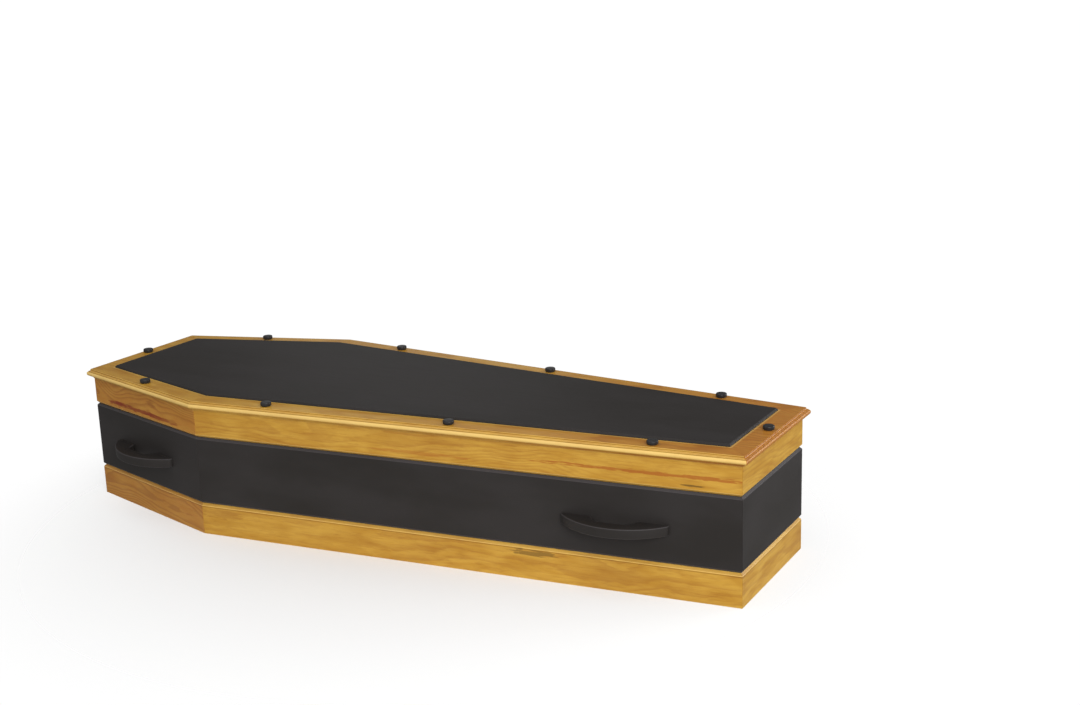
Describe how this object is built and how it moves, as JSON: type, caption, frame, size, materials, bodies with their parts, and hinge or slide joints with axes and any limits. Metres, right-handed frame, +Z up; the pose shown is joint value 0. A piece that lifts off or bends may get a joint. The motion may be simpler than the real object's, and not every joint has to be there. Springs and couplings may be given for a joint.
{
  "type": "wooden coffin",
  "caption": "Shouldered wooden coffin in stained pine with satin black panels, moulded lid with a black overlay, round lid knobs and black bow handles.",
  "frame": {"origin": "on the ground, under the middle of the case", "axes": "+X towards the foot end along the case, +Z up through the lid, +Y to the far side of the picture"},
  "size_m": [1.982, 0.7224, 0.3793],
  "materials": {
    "stained_pine": "honey stained and varnished pine, satin",
    "satin_black": "satin black paint over wood",
    "knob_black": "black moulded knob, semi gloss"
  },
  "bodies": {
    "root": {"plinth_head": "stained_pine", "plinth_near_shoulder": "stained_pine", "plinth_near_long": "stained_pine", "plinth_foot": "stained_pine", "plinth_far_long": "stained_pine", "plinth_far_shoulder": "stained_pine", "side_panel_head": "satin_black", "side_panel_near_shoulder": "satin_black", "side_panel_near_long": "satin_black", "side_panel_foot": "satin_black", "side_panel_far_long": "satin_black", "side_panel_far_shoulder": "satin_black", "rim_head": "stained_pine", "rim_near_shoulder": "stained_pine", "rim_near_long": "stained_pine", "rim_foot": "stained_pine", "rim_far_long": "stained_pine", "rim_far_shoulder": "stained_pine", "floor_board": "stained_pine", "lid_board": "stained_pine", "lid_panel": "satin_black", "lid_knob_01": "knob_black", "lid_knob_02": "knob_black", "lid_knob_03": "knob_black", "lid_knob_04": "knob_black", "lid_knob_05": "knob_black", "lid_knob_06": "knob_black", "lid_knob_07": "knob_black", "lid_knob_08": "knob_black", "lid_knob_09": "knob_black", "lid_knob_10": "knob_black", "handle_near_shoulder": "satin_black", "handle_near_long": "satin_black", "handle_far_long": "satin_black", "handle_far_shoulder": "satin_black"}
  },
  "joints": []
}
